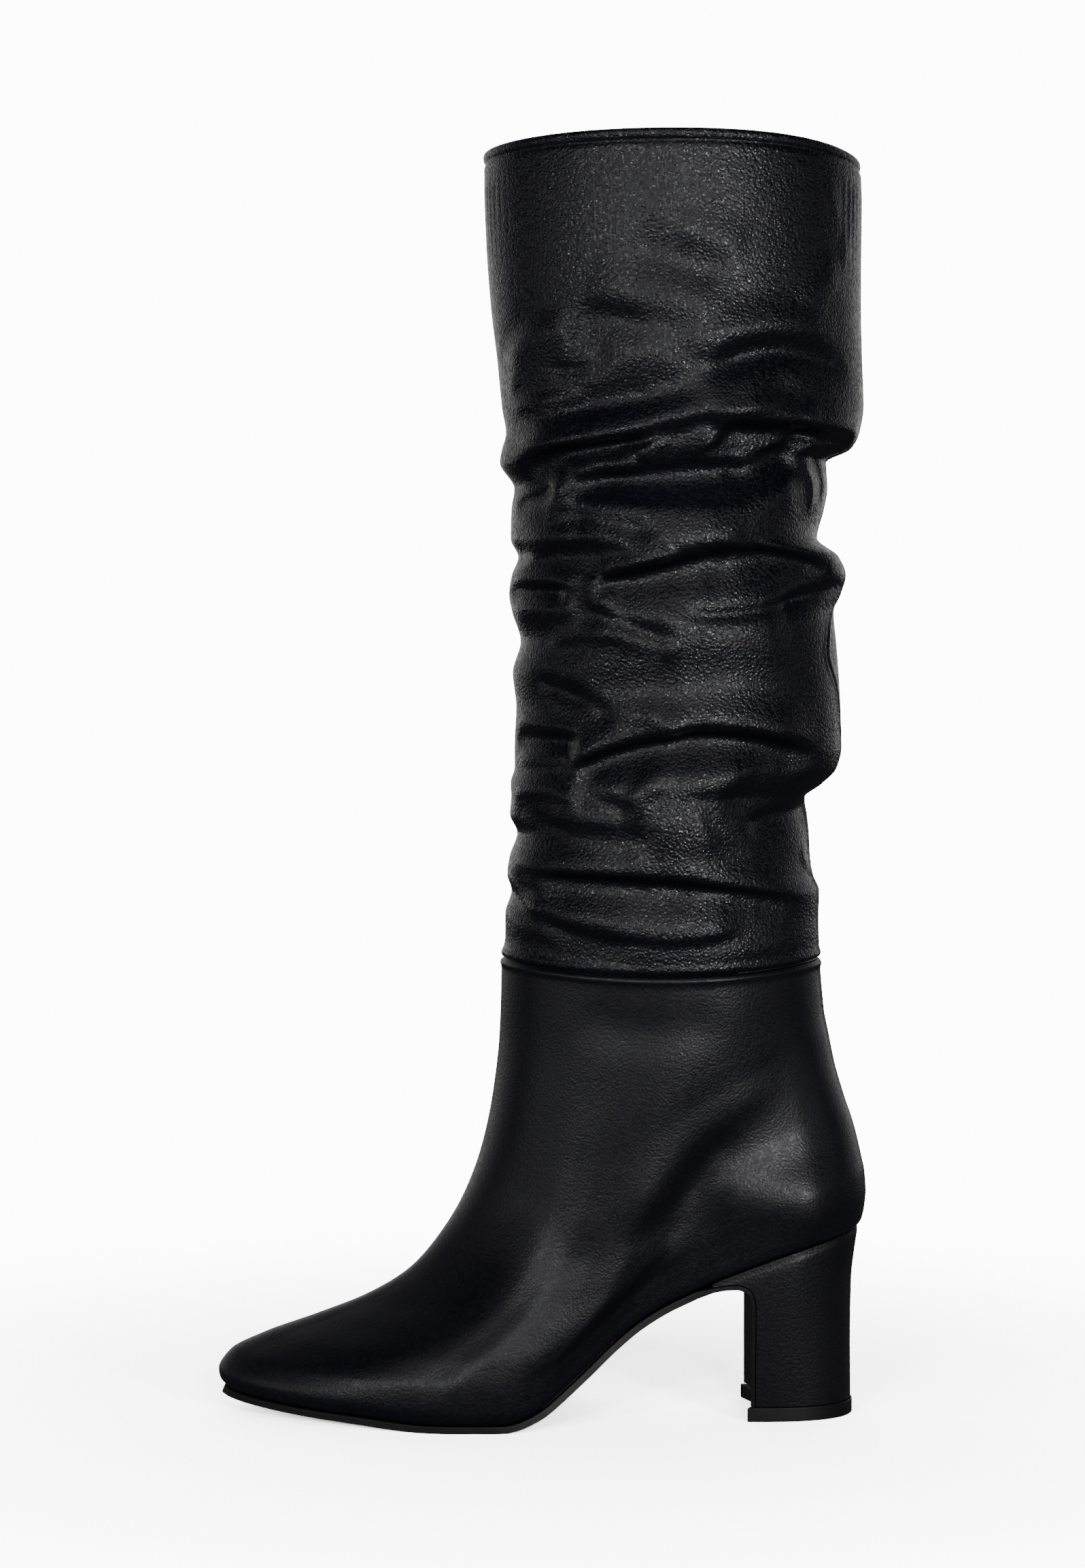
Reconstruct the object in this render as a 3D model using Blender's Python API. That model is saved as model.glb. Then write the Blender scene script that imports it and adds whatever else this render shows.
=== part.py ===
"""Slouch boot for the left foot: a pull-on ankle boot with a block heel.

The toe points to -X, the outer side of the foot to -Y, and the boot stands on z = 0.
Sizes below are millimetres, and make_object turns them into metres.
"""
import math

import bmesh
import bpy
import numpy as np

MM = 0.001

# Driving dimensions
TOE_X = -122.9
HEEL_X = 121.7
ANKLE_FRONT = -15.2
ANKLE_BACK = 106.3
ANKLE_HEIGHT = 174.3
ANKLE_HALF_WIDTH = 43.0
ANKLE_DIP = 4.4
COLLAR_HEIGHT = 482.0
COLLAR_BACK_DIP = 5.5
COLLAR_FRONT_DIP = 2.0
WALL = 2.0
GAP = 0.3
SOLE_THICKNESS = 2.8
FLAP_THICKNESS = 1.8
SHANK_END = 58.0
SOLE_INSET = 0.9
TOE_HALF_WIDTH = 3.0
INSOLE_THICKNESS = 1.8
INSOLE_INSET = 2.7
TOP_LIFT_THICKNESS = 5.5
TOP_LIFT_FRONT = 77.6
TOP_LIFT_BACK = 119.2
TOP_LIFT_HALF_WIDTH = 23.4
HEEL_HALF_WIDTH = 23.0
HEEL_INSET = 0.8
BREAST_BOW = 5.5
FOLD_DROOP = 0.3
SHAFT_RADIUS = 60.0

# Mesh density
UPPER_AROUND = 56
UPPER_RINGS = 15
SHAFT_AROUND = 36
FOLD_STEP = 5.4
FOLD_SAMPLES = 12
BREAST_ACROSS = 6
HEEL_SIDE = 9

# Foot bottom, seen from the side: x, height of the joint between upper and sole
BOTTOM_LINE = (
    (-122.9, 11.2), (-117.5, 9.4), (-105, 7.9), (-87.5, 6.3), (-68, 4.8), (-56, 3.6),
    (-44, 2.8), (-14, 2.8), (-9, 3.7), (-4, 5.7), (0.5, 8.2), (6, 12.6), (16, 21.3),
    (26, 30.6), (36, 38.6), (46, 44.7), (56, 49.4), (66, 54), (76, 57.9), (88, 62.3),
    (103, 67), (114, 70), (121.7, 71.9),
)

# Foot outline from below: distance behind the toe tip, outer half width, inner half width
FOOT_OUTLINE = (
    (0, 0, 0), (6, 12.5, 12), (19, 23, 22), (36, 32, 29.5), (56, 39, 34.5), (75, 43.5, 37.5),
    (90, 46, 38.5), (104, 46, 38), (120, 43, 35), (140, 36.5, 28.5), (160, 31.5, 23.5),
    (180, 29.5, 22.5), (200, 29.5, 25), (215, 29, 27.5), (230, 24.5, 24.5), (240, 16, 16),
    (244.6, 0, 0),
)

# Sections of the foot part, from the sole up to the ankle: x and height of the front point,
# x and height of the back point, share of the ankle's shape, width factor, bluntness of the
# front, and share of the foot bottom's curve
FOOT_SECTIONS = (
    (-122.9, 11.5, 121.7, 72.2, 0.00, 1.00, 1.00, 1.00),
    (-123.9, 16.5, 123.3, 78.0, 0.02, 1.03, 1.00, 1.00),
    (-119.5, 23.5, 124.0, 85.0, 0.06, 1.03, 0.95, 0.95),
    (-106.0, 30.3, 123.6, 92.0, 0.14, 1.00, 0.85, 0.88),
    (-86.0, 37.4, 122.0, 100.0, 0.24, 0.95, 0.75, 0.78),
    (-66.4, 45.2, 119.4, 110.5, 0.38, 0.90, 0.68, 0.62),
    (-50.7, 54.9, 115.5, 122.0, 0.52, 0.87, 0.68, 0.45),
    (-38.0, 69.7, 112.0, 134.0, 0.66, 0.87, 0.75, 0.30),
    (-29.8, 83.7, 109.6, 146.0, 0.78, 0.89, 0.85, 0.18),
    (-23.0, 102.0, 108.0, 154.0, 0.87, 0.92, 0.95, 0.10),
    (-18.6, 123.0, 107.2, 162.0, 0.94, 0.95, 1.00, 0.05),
    (-16.0, 147.0, 106.7, 168.0, 0.98, 0.98, 1.00, 0.02),
    (ANKLE_FRONT, ANKLE_HEIGHT, ANKLE_BACK, ANKLE_HEIGHT, 1.00, 1.00, 1.00, 0.00),
)

# Sections of the slouched shaft: height, front x, back x, half width
SHAFT_SECTIONS = (
    (ANKLE_HEIGHT, ANKLE_FRONT, ANKLE_BACK, ANKLE_HALF_WIDTH), (183, -13.9, 105.9, 43.5),
    (191, -13.9, 105.8, 44), (200, -11.5, 106.0, 44.5), (206, -13.1, 103.6, 45),
    (213, -12.2, 102.5, 45), (222, -9.3, 102.0, 45.5), (229, -12.1, 101.3, 46),
    (236, -11.6, 100.2, 46), (241, -11.8, 106.7, 46.5), (247, -10.3, 112.6, 47),
    (255, -10.3, 114.4, 47), (270, -9.7, 114.1, 47.5), (283, -11.0, 113.4, 48),
    (295, -8.0, 112.4, 48.5), (306, -11.2, 111.4, 48.5), (313, -12.4, 114.0, 49),
    (320, -11.4, 115.8, 49), (327, -8.9, 113.0, 49), (334, -11.8, 104.8, 49.5),
    (345, -11.5, 107.4, 50), (353, -10.4, 108.7, 50), (363, -15.9, 108.2, 50.5),
    (368, -15.1, 117.5, 51), (374, -13.6, 120.8, 51), (384, -15.1, 122.4, 51.5),
    (402, -16.9, 121.8, 52), (422, -19.3, 121.3, 52.5), (448, -21.1, 121.4, 53.5),
    (471, -21.8, 121.6, 54), (COLLAR_HEIGHT, -21.6, 120.4, 54),
)

# Rolled collar edge: depth below the top, outward step of the outer face, of the inner face
COLLAR_RIM = (
    (11.0, 0.0, 0.0), (5.6, 0.0, 0.0), (4.6, -0.4, 0.0), (3.8, 0.7, -0.2), (1.4, 0.9, -0.4),
    (0.0, -0.4, 0.3),
)

# Ridges and troughs of the shaft: angle and height of the start, of the middle and of the
# end, how far it stands out (troughs are negative), and its spread above and below. Angles are
# degrees from the front round the outer side: 90 is the outer side, 180 the back and 270 the
# inner side.
FOLDS = (
    (62, 426, 79, 421, 106, 416, 1.6, 9, 7), (10, 395, 40, 411, 59, 411, 1.6, 5, 6),
    (90, 398, 112, 410, 148, 408, 2.2, 7, 5), (94, 388, 119, 401, 156, 391, -3.0, 5, 6),
    (17, 369, 58, 370, 81, 377, 4.4, 9, 4), (71, 374, 96, 380, 124, 385, 4.4, 9, 5),
    (23, 355, 57, 364, 82, 365, -5.5, 4, 5), (49, 354, 84, 354, 121, 358, -6.0, 6, 9),
    (105, 356, 123, 359, 144, 364, -4.0, 6, 7), (50, 345, 84, 343, 117, 345, 4.5, 4, 9),
    (106, 344, 125, 346, 141, 356, 4.0, 4, 7), (100, 370, 115, 370, 142, 371, -5.0, 4, 6),
    (126, 371, 142, 370, 174, 369, -4.5, 4, 5), (95, 376, 114, 377, 139, 376, 3.4, 6, 4),
    (127, 376, 146, 374, 180, 372, 3.4, 6, 4), (44, 359, 45, 348, 46, 337, 2.6, 5, 5),
    (48, 340, 69, 338, 86, 333, -3.0, 4, 4), (15, 323, 38, 331, 57, 333, 2.2, 5, 4),
    (58, 321, 74, 324, 91, 330, 3.0, 5, 4), (65, 320, 91, 330, 120, 333, 4.0, 9, 6),
    (104, 332, 131, 332, 180, 322, 4.0, 9, 6), (62, 312, 80, 320, 107, 325, -5.0, 4, 6),
    (92, 323, 117, 326, 155, 319, -5.0, 4, 7), (60, 308, 74, 303, 95, 302, 4.0, 7, 5),
    (81, 302, 107, 302, 132, 305, 3.4, 7, 5), (128, 307, 145, 312, 180, 318, -3.0, 4, 4),
    (0, 314, 32, 313, 50, 312, -4.0, 4, 4), (57, 307, 72, 300, 88, 293, -2.6, 4, 4),
    (32, 293, 56, 298, 76, 296, 2.0, 4, 4), (62, 294, 65, 286, 68, 278, -2.6, 4, 4),
    (26, 281, 52, 273, 68, 265, -2.6, 4, 4), (49, 273, 68, 269, 87, 269, 2.0, 6, 4),
    (5, 258, 35, 257, 54, 256, -3.6, 4, 4), (44, 248, 71, 259, 94, 263, 4.0, 9, 4.5),
    (78, 261, 106, 265, 146, 255, 4.0, 9, 5), (47, 244, 73, 254, 99, 257, -5.0, 4, 7),
    (85, 257, 111, 257, 150, 249, -5.0, 4, 7), (45, 245, 66, 241, 92, 240, 4.0, 7, 6),
    (74, 240, 97, 240, 124, 242, 3.5, 7, 7), (180, 250, 180, 240, 132, 232, 4.0, 6, 4),
    (180, 233, 144, 230, 121, 222, -4.0, 4, 9), (3, 236, 38, 239, 60, 235, 2.0, 4, 4),
    (12, 230, 35, 228, 53, 223, -2.0, 4, 4), (81, 227, 96, 221, 112, 224, 2.2, 12, 9),
    (0, 212, 56, 211, 88, 210, 3.0, 7, 4), (76, 210, 103, 208, 165, 198, 2.6, 8, 4),
    (31, 206, 71, 205, 101, 203, -2.6, 4, 4), (86, 205, 111, 202, 147, 197, -2.0, 4, 4),
    (23, 202, 54, 194, 81, 190, 3.4, 7, 4), (65, 191, 93, 188, 121, 192, 3.4, 8, 4),
    (39, 191, 63, 186, 88, 185, -2.2, 4, 4),
    (184, 384, 270, 376, 356, 363, 4.0, 9, 4), (184, 366, 270, 366, 340, 355, -3.0, 4, 7),
    (184, 345, 270, 350, 356, 342, 3.0, 8, 4), (184, 336, 270, 338, 356, 328, -3.0, 4, 7),
    (184, 320, 270, 318, 356, 319, 4.0, 9, 4), (184, 303, 270, 306, 356, 300, -3.0, 4, 7),
    (184, 285, 270, 280, 356, 283, 3.0, 9, 4), (184, 264, 270, 266, 356, 258, -2.5, 4, 7),
    (184, 250, 270, 245, 356, 240, 3.5, 9, 4), (184, 226, 270, 233, 356, 224, -3.5, 4, 8),
    (184, 205, 270, 208, 356, 210, 3.0, 8, 4), (184, 195, 270, 197, 356, 200, -2.5, 4, 6),
    (184, 184, 270, 184, 356, 186, 2.0, 6, 4),
)

# Heel, from the top lift to the seat: x and height of its front, bow of the front, and
# x and height of its back. The outsole's flap follows the front.
HEEL_SECTIONS = (
    (80.6, 5.8, 5.5, 118.6, 5.8), (80.6, 25, 5.5, 118.4, 30), (80.6, 44, 5.5, 118.8, 52),
    (79.4, 49.2, 5, 119.6, 60), (77.2, 51.5, 4, 120.3, 65), (73.8, 52.7, 2.5, 120.8, 68.3),
    (69.8, 52.6, 1.5, 121, 69.9), (64.4, 51.7, 1, 121, 71),
)


def smooth(xs, ys):
    """Returns a smooth curve through the points, without overshoot and flat between equals."""
    xs = np.asarray(xs, float)
    ys = np.asarray(ys, float)
    step = np.diff(xs)
    rise = np.diff(ys) / step
    slope = np.zeros_like(ys)
    slope[0] = rise[0]
    slope[-1] = rise[-1]
    for i in range(1, len(ys) - 1):
        if rise[i - 1] * rise[i] > 0:
            slope[i] = 2 * rise[i - 1] * rise[i] / (rise[i - 1] + rise[i])

    def value(x):
        x = np.clip(x, xs[0], xs[-1])
        i = np.clip(np.searchsorted(xs, x) - 1, 0, len(step) - 1)
        t = (x - xs[i]) / step[i]
        ends = (1 + 2 * t) * (1 - t) ** 2 * ys[i] + t * t * (3 - 2 * t) * ys[i + 1]
        return ends + step[i] * (t * (1 - t) ** 2 * slope[i] - t * t * (1 - t) * slope[i + 1])

    return value


def column(table, index):
    return [row[index] for row in table]


bottom_height = smooth(column(BOTTOM_LINE, 0), column(BOTTOM_LINE, 1))
FOOT_LENGTH = HEEL_X - TOE_X


def turn_at(x):
    """Turns a place along the foot into a half turn from toe to heel, fine at both ends."""
    share = np.clip((x - TOE_X) / FOOT_LENGTH, 0, 1)
    return np.arccos(1 - 2 * share)


outline_turns = [turn_at(TOE_X + row[0]) for row in FOOT_OUTLINE]
outer_width = smooth(outline_turns, column(FOOT_OUTLINE, 1))
inner_width = smooth(outline_turns, column(FOOT_OUTLINE, 2))


def half_width(x, side):
    """Half width of the foot's outline at x, for the outer (-1) or the inner (+1) side."""
    curve = outer_width if side < 0 else inner_width
    return curve(turn_at(x))


def make_object(name, mesh, colour, roughness):
    """Turns a mesh in millimetres into a named object with its own material."""
    bmesh.ops.scale(mesh, vec=(MM, MM, MM), verts=mesh.verts)
    bmesh.ops.recalc_face_normals(mesh, faces=mesh.faces)
    data = bpy.data.meshes.new(name)
    mesh.to_mesh(data)
    mesh.free()
    data.shade_smooth()
    data.set_sharp_from_angle(angle=math.radians(40))
    material = bpy.data.materials.new(name)
    material.use_nodes = True
    shader = material.node_tree.nodes["Principled BSDF"]
    shader.inputs["Base Color"].default_value = (*colour, 1)
    shader.inputs["Roughness"].default_value = roughness
    data.materials.append(material)
    item = bpy.data.objects.new(name, data)
    bpy.context.scene.collection.objects.link(item)
    return item


def ring_edges(loop):
    pairs = zip(loop, loop[1:] + loop[:1])
    return [next(edge for edge in a.link_edges if edge.other_vert(a) is b) for a, b in pairs]


def partner(vert, fresh):
    """Returns the extruded vertex that stands at the other end of this one's new edge."""
    return next(edge.other_vert(vert) for edge in vert.link_edges if edge.other_vert(vert) in fresh)


def loft(rings, joined):
    """Extrudes a ring through all the others, and joins the last to the first or caps both."""
    mesh = bmesh.new()
    loop = bmesh.ops.create_circle(mesh, segments=len(rings[0]), radius=1)["verts"]
    for vert, point in zip(loop, rings[0]):
        vert.co = point
    first = loop
    for ring in rings[1:]:
        made = bmesh.ops.extrude_edge_only(mesh, edges=ring_edges(loop))["geom"]
        fresh = set(part for part in made if isinstance(part, bmesh.types.BMVert))
        loop = [partner(vert, fresh) for vert in loop]
        for vert, point in zip(loop, ring):
            vert.co = point
    if joined:
        for i in range(len(loop)):
            mesh.faces.new((loop[i - 1], loop[i], first[i], first[i - 1]))
    else:
        mesh.faces.new(first)
        mesh.faces.new(loop)
    return mesh, loop


def walled(outer, wall):
    """Returns a tube's outer rings, then its inner rings back down, a wall's depth inside."""
    grid = np.array(outer)
    around = np.roll(grid, -1, axis=1) - np.roll(grid, 1, axis=1)
    along = np.gradient(grid, axis=0)
    normal = np.cross(around, along)
    normal[0, :, 2] = 0
    normal[-1, :, 2] = 0
    normal /= np.linalg.norm(normal, axis=2, keepdims=True)
    centre = grid.mean(axis=1, keepdims=True)
    outward = np.sum(normal * (grid - centre), axis=2).mean()
    inner = grid - np.sign(outward) * np.asarray(wall)[:, None, None] * normal
    return list(grid) + list(inner[::-1])


def foot_ring(section, turns):
    """Places one section of the foot part, an egg shape between its front and back points."""
    front_x, front_z, back_x, back_z, ankle, width, blunt, sag = section
    points = []
    for turn in turns:
        share = (1 - math.cos(turn)) / 2
        side = -1 if math.sin(turn) >= 0 else 1
        foot_x = TOE_X + share * FOOT_LENGTH
        line = BOTTOM_LINE[0][1] + share * (BOTTOM_LINE[-1][1] - BOTTOM_LINE[0][1])
        dip = bottom_height(foot_x) - line
        foot = float(half_width(foot_x, side))
        leg = ANKLE_HALF_WIDTH * abs(math.sin(turn))
        near_front = min(share / 0.3, 1)
        nose = blunt + (1 - blunt) * near_front * near_front * (3 - 2 * near_front)
        half = width * nose * (foot + ankle * (leg - foot))
        height = front_z + share * (back_z - front_z) + sag * dip
        height -= ankle ** 4 * ANKLE_DIP * math.sin(turn) ** 2
        points.append((front_x + share * (back_x - front_x), side * half, height))
    return points


def make_upper():
    """Foot part: one leather wall from the sole to the ankle seam, open at both ends."""
    place = np.linspace(0, 1, len(FOOT_SECTIONS))
    curves = [smooth(place, column(FOOT_SECTIONS, i)) for i in range(len(FOOT_SECTIONS[0]))]
    turns = np.arange(UPPER_AROUND) * 2 * math.pi / UPPER_AROUND
    shares = np.linspace(0, 1, UPPER_RINGS)
    rings = [foot_ring([float(curve(share)) for curve in curves], turns) for share in shares]
    skins = walled(rings, np.full(len(rings), WALL))
    inner_edge = skins[-1]
    inner_edge[:, 2] = bottom_height(inner_edge[:, 0]) + GAP
    mesh, _ = loft(skins, joined=True)
    return make_object("upper", mesh, (0.012, 0.011, 0.013), 0.38)


def fold_depth(angle, height):
    """Adds up the folds at a place on the shaft, given in degrees and millimetres."""
    scale = math.radians(1) * SHAFT_RADIUS
    spot = np.array((angle * scale, height))
    total = 0.0
    for a0, z0, a1, z1, a2, z2, rise, above, below in FOLDS:
        start, middle, end = np.array(((a0 * scale, z0), (a1 * scale, z1), (a2 * scale, z2)))
        t = np.linspace(0, 1, FOLD_SAMPLES + 1)[:, None]
        path = (1 - t) * (1 - 2 * t) * start + 4 * t * (1 - t) * middle + t * (2 * t - 1) * end
        step = np.diff(path, axis=0)
        reach = np.sum((spot - path[:-1]) * step, axis=1) / np.sum(step * step, axis=1)
        reach = np.clip(reach, 0, 1)
        away = np.linalg.norm(path[:-1] + reach[:, None] * step - spot, axis=1)
        near = int(np.argmin(away))
        share = (near + reach[near]) / FOLD_SAMPLES
        taper = min(1.0, 4 * share, 4 * (1 - share))
        run, climb = step[near]
        over = (spot[1] - path[near, 1]) * run - (spot[0] - path[near, 0]) * climb
        spread = above if over * run > 0 else below
        total += rise * taper * math.exp(-(away[near] / spread) ** 2)
    return total


def shaft_ring(height, step, turns, curves):
    """Places one ring of the shaft, with its folds and the outward step of the rim."""
    front, back, half = [float(curve(height)) for curve in curves]
    near_ankle = max(0.0, 1 - (height - ANKLE_HEIGHT) / 40)
    near_collar = max(0.0, 1 - (COLLAR_HEIGHT - height) / 60)
    points = []
    for turn in turns:
        share = (1 - math.cos(turn)) / 2
        sine = math.sin(turn)
        depth = fold_depth(math.degrees(turn), height) * (1 - near_ankle ** 3)
        x = front + share * (back - front) - step * math.cos(turn)
        z = height - near_ankle * ANKLE_DIP * sine * sine - FOLD_DROOP * depth * abs(sine)
        z -= near_collar * (COLLAR_BACK_DIP * share ** 7 + COLLAR_FRONT_DIP * (1 - share) ** 6)
        reach = min(abs(sine) / 0.3, 1.0)
        fold = math.copysign(depth * reach * (2 - reach), sine)
        points.append((x, -sine * (half + step) - fold, z))
    return points


def make_shaft():
    """Slouched shaft: one leather wall from the ankle seam to the rolled collar edge."""
    heights = column(SHAFT_SECTIONS, 0)
    curves = [smooth(heights, column(SHAFT_SECTIONS, i)) for i in (1, 2, 3)]
    turns = np.arange(SHAFT_AROUND) * 2 * math.pi / SHAFT_AROUND
    folded = np.arange(ANKLE_HEIGHT + GAP, 400, FOLD_STEP)
    panel = np.linspace(412, 458, 4)
    rings = [shaft_ring(float(z), 0, turns, curves) for z in (*folded, *panel)]
    walls = [WALL] * len(rings)
    for depth, outward, inward in COLLAR_RIM:
        rings.append(shaft_ring(COLLAR_HEIGHT - depth, outward, turns, curves))
        walls.append(WALL + outward - inward)
    mesh, _ = loft(walled(rings, walls), joined=True)
    return make_object("shaft", mesh, (0.013, 0.012, 0.014), 0.36)


def sole_stations():
    """Places along the foot at which upper, sole and insole have their matching edges."""
    turns = np.arange(1, UPPER_AROUND // 2) * 2 * math.pi / UPPER_AROUND
    return [float(TOE_X + (1 - math.cos(turn)) / 2 * FOOT_LENGTH) for turn in turns]


def side_normals(path):
    """Unit normals of a side-view path that runs towards the heel, pointing upward."""
    direction = np.gradient(np.array(path, float), axis=0)
    direction /= np.linalg.norm(direction, axis=1, keepdims=True)
    return np.stack((-direction[:, 1], direction[:, 0]), axis=1)


def ribbon(stations):
    """Lofts a ribbon along stations of place, normal, lower and upper level, widths and bow."""
    rings = []
    shares = np.linspace(-1, 1, BREAST_ACROSS + 1)
    for place, normal, low, high, (outer, inner), bow in stations:
        ring = []
        for level, order in ((high, shares), (low, shares[::-1])):
            x, z = np.array(place) + level * np.array(normal)
            for share in order:
                y = share * (outer if share < 0 else inner)
                ring.append((x + bow * (1 - share * share), y, z))
        rings.append(ring)
    return loft(rings, joined=False)[0]


def heel_share(height):
    """How far a place on the heel is from the top lift (0) to the seat (1)."""
    return (height - TOP_LIFT_THICKNESS) / (HEEL_SECTIONS[-1][1] - TOP_LIFT_THICKNESS)


def make_outsole():
    """Outsole: thin under the foot, flat at the tread, and on down the heel breast as a flap."""
    path = []
    rest = []
    for x in (TOE_X + SOLE_INSET, *sole_stations()[1:]):
        if x > SHANK_END:
            break
        path.append((x, float(bottom_height(x))))
        wide = [max(float(half_width(x, side)) - SOLE_INSET, TOE_HALF_WIDTH) for side in (-1, 1)]
        rest.append((-SOLE_THICKNESS, 0.0, wide, 0.0))
    for x, z, bow, _, _ in reversed(HEEL_SECTIONS):
        path.append((x, z))
        foot = [float(half_width(x, side)) - HEEL_INSET for side in (-1, 1)]
        wide = [HEEL_HALF_WIDTH + heel_share(z) * (half - HEEL_HALF_WIDTH) for half in foot]
        rest.append((-FLAP_THICKNESS, 0.0, wide, bow))
    normals = side_normals(path)
    tread = [i for i, place in enumerate(path) if place[1] <= SOLE_THICKNESS]
    normals[tread] = (0.0, 1.0)
    mesh = ribbon([(place, normal, *row) for place, normal, row in zip(path, normals, rest)])
    return make_object("outsole", mesh, (0.010, 0.010, 0.011), 0.5)


def make_insole():
    """Insole: a thin board that lies on the outsole and the heel, inside the upper's wall."""
    stations = []
    for x in sole_stations():
        wide = [float(half_width(x, side)) - INSOLE_INSET for side in (-1, 1)]
        inside_x = x * (1 - 2 * INSOLE_INSET / FOOT_LENGTH)
        if min(wide) > TOE_HALF_WIDTH:
            place = (inside_x, float(bottom_height(inside_x)) + GAP)
            stations.append((place, (0.0, 1.0), 0.0, INSOLE_THICKNESS, wide, 0.0))
    return make_object("insole", ribbon(stations), (0.16, 0.12, 0.085), 0.7)


def heel_ring(front, back, bow, half_at, height_at):
    """Places a heel section: the bowed front from side to side, then round the back."""
    points = []
    for share in np.linspace(1, -1, BREAST_ACROSS + 1):
        y = share * half_at(front, 1 if share > 0 else -1)
        x = front + bow * (1 - share * share)
        points.append((x, y, height_at(x)))
    turns = np.arange(1, HEEL_SIDE) * math.pi / 2 / HEEL_SIDE
    sides = [(-1, turn) for turn in turns] + [(-1, math.pi / 2)] + [(1, turn) for turn in turns[::-1]]
    for side, turn in sides:
        x = front + (back - front) * math.sin(turn)
        points.append((x, side * half_at(x, side), height_at(x)))
    return points


def block_half(front, back, half):
    """Half width of a D shape: straight sides behind a flat front, and a round back."""
    return lambda x, side: half * math.sqrt(max(0.0, 1 - max(0.0, (x - front) / (back - front)) ** 3))


def make_heel():
    """Block heel: a hollow-fronted block that rises to the sloping seat of the foot."""
    rings = []
    line = [row[:2] for row in HEEL_SECTIONS]
    clear = side_normals(line[::-1])[::-1] * GAP
    for level, (front, low, bow, back, high) in enumerate(HEEL_SECTIONS):
        front += float(clear[level][0])
        low += float(clear[level][1])
        slope = (high - low) / (back - front)
        half_at = heel_half(front, back, heel_share(HEEL_SECTIONS[level][1]))
        rings.append(heel_ring(front, back, bow, half_at, lambda x: low + slope * max(0.0, x - front)))
    half_at = heel_half(front, HEEL_X - HEEL_INSET, 1.0)
    rings.append(heel_ring(front, HEEL_X - HEEL_INSET, bow, half_at, lambda x: float(bottom_height(x))))
    mesh, cap = loft(rings, joined=False)
    split_cap(cap)
    return make_object("heel", mesh, (0.012, 0.011, 0.013), 0.38)


def heel_half(front, back, share):
    """Half width of a heel section, between the D of the top lift and the foot's outline."""
    block = block_half(front, back, HEEL_HALF_WIDTH)

    def half_at(x, side):
        reach = (x - front) / (back - front)
        foot_x = front + reach * (HEEL_X - front)
        foot = max(float(half_width(foot_x, side)) - HEEL_INSET * (1 - reach ** 8), 0.0)
        return block(x, side) + share * (foot - block(x, side))

    return half_at


def split_cap(loop):
    """Splits the heel's top into strips from side to side, so that it follows the seat."""
    face = next(face for face in loop[0].link_faces if len(face.verts) == len(loop))
    for i in range(HEEL_SIDE):
        outer = loop[BREAST_ACROSS + i]
        inner = loop[-i]
        if outer in face.verts and inner in face.verts and len(face.verts) > 4:
            pieces = bmesh.utils.face_split(face, outer, inner)
            face = max((face, pieces[0]), key=lambda part: max(vert.co.x for vert in part.verts))


def make_top_lift():
    """Top lift: the wearing plate under the heel, flat on the floor."""
    block = block_half(TOP_LIFT_FRONT, TOP_LIFT_BACK, TOP_LIFT_HALF_WIDTH)
    rings = []
    for level in (0.0, TOP_LIFT_THICKNESS):
        rings.append(heel_ring(TOP_LIFT_FRONT, TOP_LIFT_BACK, BREAST_BOW, block, lambda x: level))
    mesh, _ = loft(rings, joined=False)
    return make_object("top_lift", mesh, (0.011, 0.011, 0.012), 0.55)


def main():
    for item in list(bpy.data.objects):
        bpy.data.objects.remove(item)
    make_upper()
    make_shaft()
    make_outsole()
    make_insole()
    make_heel()
    make_top_lift()


main()
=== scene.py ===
import math

import bmesh
import bpy
import numpy as np
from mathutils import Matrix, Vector


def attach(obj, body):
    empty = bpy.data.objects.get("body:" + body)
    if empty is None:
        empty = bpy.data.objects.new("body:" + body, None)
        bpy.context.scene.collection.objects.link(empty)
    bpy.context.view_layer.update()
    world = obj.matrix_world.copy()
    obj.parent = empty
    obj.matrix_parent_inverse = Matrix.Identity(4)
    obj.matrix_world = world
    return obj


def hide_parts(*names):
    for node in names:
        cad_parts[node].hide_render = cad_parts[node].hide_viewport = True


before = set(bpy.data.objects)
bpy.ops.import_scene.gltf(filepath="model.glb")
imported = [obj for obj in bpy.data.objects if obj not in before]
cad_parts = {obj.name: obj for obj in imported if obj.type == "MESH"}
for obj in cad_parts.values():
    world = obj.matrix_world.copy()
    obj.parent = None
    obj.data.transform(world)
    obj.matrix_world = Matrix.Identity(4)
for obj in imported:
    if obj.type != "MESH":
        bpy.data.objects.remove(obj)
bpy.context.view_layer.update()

# Foot part: the boot's vamp, quarters and counter in one, soft black nappa leather. It is drawn
# over the last, turned under at the feather line and cemented to the sole, and its top edge is
# sewn to the shaft. Sizes are millimetres, and MM turns them into the scene's metres.
MM = 0.001
TOE_X = -122.9
HEEL_X = 121.7
ANKLE_FRONT = -15.2
ANKLE_BACK = 106.3
ANKLE_HEIGHT = 174.3
ANKLE_HALF_WIDTH = 43.0
ANKLE_DIP = 4.4
FOOT_LENGTH = HEEL_X - TOE_X

# Foot bottom from the side: x, height of the joint between upper and sole
BOTTOM_LINE = (
    (-122.9, 11.2), (-117.5, 9.4), (-105, 7.9), (-87.5, 6.3), (-68, 4.8), (-56, 3.6),
    (-44, 2.8), (-14, 2.8), (-9, 3.7), (-4, 5.7), (0.5, 8.2), (6, 12.6), (16, 21.3),
    (26, 30.6), (36, 38.6), (46, 44.7), (56, 49.4), (66, 54), (76, 57.9), (88, 62.3),
    (103, 67), (114, 70), (121.7, 71.9),
)
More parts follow.
